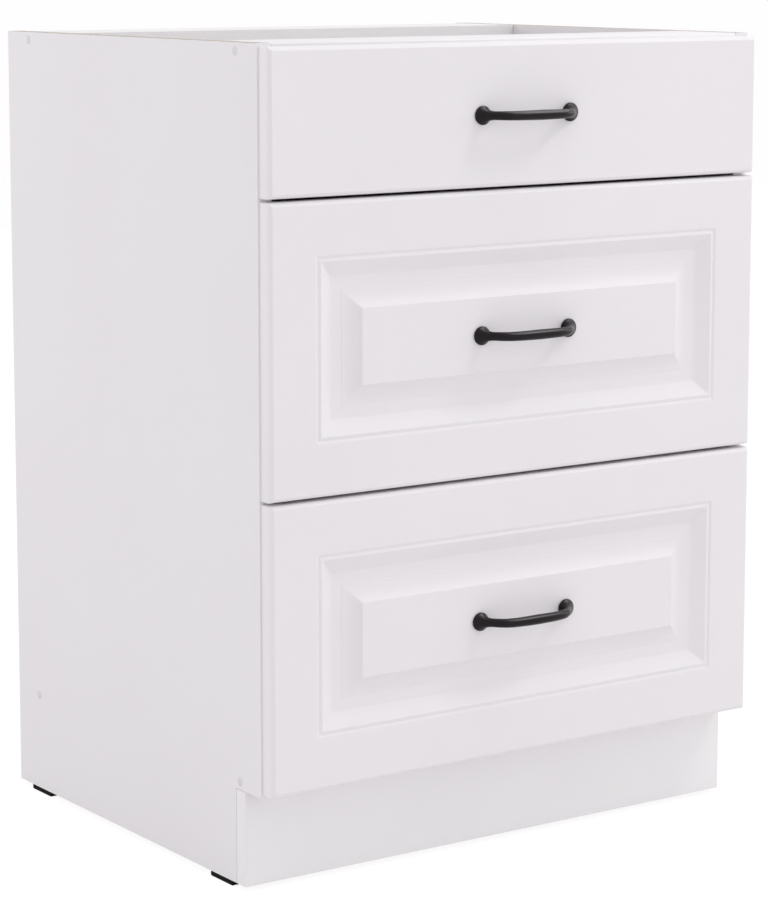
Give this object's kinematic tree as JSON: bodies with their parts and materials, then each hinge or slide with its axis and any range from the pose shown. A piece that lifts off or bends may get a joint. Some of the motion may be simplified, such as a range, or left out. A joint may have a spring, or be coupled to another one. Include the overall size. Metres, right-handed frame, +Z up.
{
  "type": "kitchen base cabinet with drawers",
  "caption": "White kitchen base cabinet with a plinth, drawers on roller runners, raised-panel fronts and black bow handles, open on top for a worktop.",
  "frame": {"origin": "on the floor, under the middle of the whole object with its handles", "axes": "+X to the right as seen by a person facing the fronts, +Y to the wall behind, +Z up; the drawer fronts face -Y"},
  "size_m": [0.6, 0.536, 0.816],
  "materials": {
    "white_board": "chipboard faced in satin white, raw chipboard on the edges without a band",
    "front_board": "fibreboard wrapped in a satin white film",
    "hardboard": "thin hardboard, white on one face",
    "black_metal": "satin black",
    "runner_steel": "white powder coat",
    "nylon": "off-white nylon",
    "glide_plastic": "black plastic",
    "screw_cap": "steel screw under a pale grey cap",
    "zinc_steel": "zinc plated"
  },
  "bodies": {
    "carcass": {"side_panel_left": "white_board", "side_panel_right": "white_board", "bottom_panel": "white_board", "top_rail_front": "white_board", "top_rail_rear": "white_board", "plinth_board": "white_board", "back_panel": "hardboard", "plinth_bracket_left": "zinc_steel", "plinth_bracket_right": "zinc_steel", "floor_glide_front_left": "glide_plastic", "floor_glide_front_right": "glide_plastic", "floor_glide_rear_left": "glide_plastic", "floor_glide_rear_right": "glide_plastic", "corner_screw_front_left": "screw_cap", "corner_screw_front_right": "screw_cap", "corner_screw_rear_left": "screw_cap", "corner_screw_rear_right": "screw_cap", "cabinet_runner_bottom_left": "runner_steel", "cabinet_runner_bottom_right": "runner_steel", "cabinet_runner_middle_left": "runner_steel", "cabinet_runner_middle_right": "runner_steel", "cabinet_runner_top_left": "runner_steel", "cabinet_runner_top_right": "runner_steel"},
    "bottom_drawer": {"bottom_drawer_front": "front_board", "bottom_drawer_handle": "black_metal", "bottom_drawer_side_left": "white_board", "bottom_drawer_side_right": "white_board", "bottom_drawer_back": "white_board", "bottom_drawer_base": "hardboard", "bottom_drawer_runner_left": "runner_steel", "bottom_drawer_runner_right": "runner_steel"},
    "middle_drawer": {"middle_drawer_front": "front_board", "middle_drawer_handle": "black_metal", "middle_drawer_side_left": "white_board", "middle_drawer_side_right": "white_board", "middle_drawer_back": "white_board", "middle_drawer_base": "hardboard", "middle_drawer_runner_left": "runner_steel", "middle_drawer_runner_right": "runner_steel"},
    "top_drawer": {"top_drawer_front": "front_board", "top_drawer_handle": "black_metal", "top_drawer_side_left": "white_board", "top_drawer_side_right": "white_board", "top_drawer_back": "white_board", "top_drawer_base": "hardboard", "top_drawer_runner_left": "runner_steel", "top_drawer_runner_right": "runner_steel"},
    "cabinet_roller_bottom_left": {"cabinet_roller_bottom_left": "nylon"},
    "cabinet_roller_bottom_right": {"cabinet_roller_bottom_right": "nylon"},
    "cabinet_roller_middle_left": {"cabinet_roller_middle_left": "nylon"},
    "cabinet_roller_middle_right": {"cabinet_roller_middle_right": "nylon"},
    "cabinet_roller_top_left": {"cabinet_roller_top_left": "nylon"},
    "cabinet_roller_top_right": {"cabinet_roller_top_right": "nylon"},
    "bottom_drawer_roller_left": {"bottom_drawer_roller_left": "nylon"},
    "bottom_drawer_roller_right": {"bottom_drawer_roller_right": "nylon"},
    "middle_drawer_roller_left": {"middle_drawer_roller_left": "nylon"},
    "middle_drawer_roller_right": {"middle_drawer_roller_right": "nylon"},
    "top_drawer_roller_left": {"top_drawer_roller_left": "nylon"},
    "top_drawer_roller_right": {"top_drawer_roller_right": "nylon"}
  },
  "joints": [
    {"name": "bottom_drawer_slide", "type": "slide", "parent": "carcass", "child": "bottom_drawer", "axis": [0, -1, 0], "range_m": [0, 0.34]},
    {"name": "middle_drawer_slide", "type": "slide", "parent": "carcass", "child": "middle_drawer", "axis": [0, -1, 0], "range_m": [0, 0.34]},
    {"name": "top_drawer_slide", "type": "slide", "parent": "carcass", "child": "top_drawer", "axis": [0, -1, 0], "range_m": [0, 0.34]},
    {"name": "cabinet_roller_bottom_left_spin", "type": "hinge", "parent": "carcass", "child": "cabinet_roller_bottom_left", "pos_m": [-0.279, -0.20695, 0.1375], "axis": [1, 0, 0], "range_deg": [-2, 2167]},
    {"name": "cabinet_roller_bottom_right_spin", "type": "hinge", "parent": "carcass", "child": "cabinet_roller_bottom_right", "pos_m": [0.279, -0.20695, 0.1375], "axis": [1, 0, 0], "range_deg": [-2, 2167]},
    {"name": "cabinet_roller_middle_left_spin", "type": "hinge", "parent": "carcass", "child": "cabinet_roller_middle_left", "pos_m": [-0.279, -0.20695, 0.4225], "axis": [1, 0, 0], "range_deg": [-2, 2167]},
    {"name": "cabinet_roller_middle_right_spin", "type": "hinge", "parent": "carcass", "child": "cabinet_roller_middle_right", "pos_m": [0.279, -0.20695, 0.4225], "axis": [1, 0, 0], "range_deg": [-2, 2167]},
    {"name": "cabinet_roller_top_left_spin", "type": "hinge", "parent": "carcass", "child": "cabinet_roller_top_left", "pos_m": [-0.279, -0.20695, 0.7075], "axis": [1, 0, 0], "range_deg": [-2, 2167]},
    {"name": "cabinet_roller_top_right_spin", "type": "hinge", "parent": "carcass", "child": "cabinet_roller_top_right", "pos_m": [0.279, -0.20695, 0.7075], "axis": [1, 0, 0], "range_deg": [-2, 2167]},
    {"name": "bottom_drawer_roller_left_spin", "type": "hinge", "parent": "bottom_drawer", "child": "bottom_drawer_roller_left", "pos_m": [-0.277, 0.21635, 0.1345], "axis": [1, 0, 0], "range_deg": [-2, 2167]},
    {"name": "bottom_drawer_roller_right_spin", "type": "hinge", "parent": "bottom_drawer", "child": "bottom_drawer_roller_right", "pos_m": [0.277, 0.21635, 0.1345], "axis": [1, 0, 0], "range_deg": [-2, 2167]},
    {"name": "middle_drawer_roller_left_spin", "type": "hinge", "parent": "middle_drawer", "child": "middle_drawer_roller_left", "pos_m": [-0.277, 0.21635, 0.4195], "axis": [1, 0, 0], "range_deg": [-2, 2167]},
    {"name": "middle_drawer_roller_right_spin", "type": "hinge", "parent": "middle_drawer", "child": "middle_drawer_roller_right", "pos_m": [0.277, 0.21635, 0.4195], "axis": [1, 0, 0], "range_deg": [-2, 2167]},
    {"name": "top_drawer_roller_left_spin", "type": "hinge", "parent": "top_drawer", "child": "top_drawer_roller_left", "pos_m": [-0.277, 0.21635, 0.7045], "axis": [1, 0, 0], "range_deg": [-2, 2167]},
    {"name": "top_drawer_roller_right_spin", "type": "hinge", "parent": "top_drawer", "child": "top_drawer_roller_right", "pos_m": [0.277, 0.21635, 0.7045], "axis": [1, 0, 0], "range_deg": [-2, 2167]}
  ],
  "couplings": [
    {"joint": "cabinet_roller_bottom_left_spin", "follows": "bottom_drawer_slide", "rad_per_m": 111.11},
    {"joint": "cabinet_roller_bottom_right_spin", "follows": "bottom_drawer_slide", "rad_per_m": 111.11},
    {"joint": "bottom_drawer_roller_left_spin", "follows": "bottom_drawer_slide", "rad_per_m": 111.11},
    {"joint": "bottom_drawer_roller_right_spin", "follows": "bottom_drawer_slide", "rad_per_m": 111.11},
    {"joint": "cabinet_roller_middle_left_spin", "follows": "middle_drawer_slide", "rad_per_m": 111.11},
    {"joint": "cabinet_roller_middle_right_spin", "follows": "middle_drawer_slide", "rad_per_m": 111.11},
    {"joint": "middle_drawer_roller_left_spin", "follows": "middle_drawer_slide", "rad_per_m": 111.11},
    {"joint": "middle_drawer_roller_right_spin", "follows": "middle_drawer_slide", "rad_per_m": 111.11},
    {"joint": "cabinet_roller_top_left_spin", "follows": "top_drawer_slide", "rad_per_m": 111.11},
    {"joint": "cabinet_roller_top_right_spin", "follows": "top_drawer_slide", "rad_per_m": 111.11},
    {"joint": "top_drawer_roller_left_spin", "follows": "top_drawer_slide", "rad_per_m": 111.11},
    {"joint": "top_drawer_roller_right_spin", "follows": "top_drawer_slide", "rad_per_m": 111.11}
  ]
}
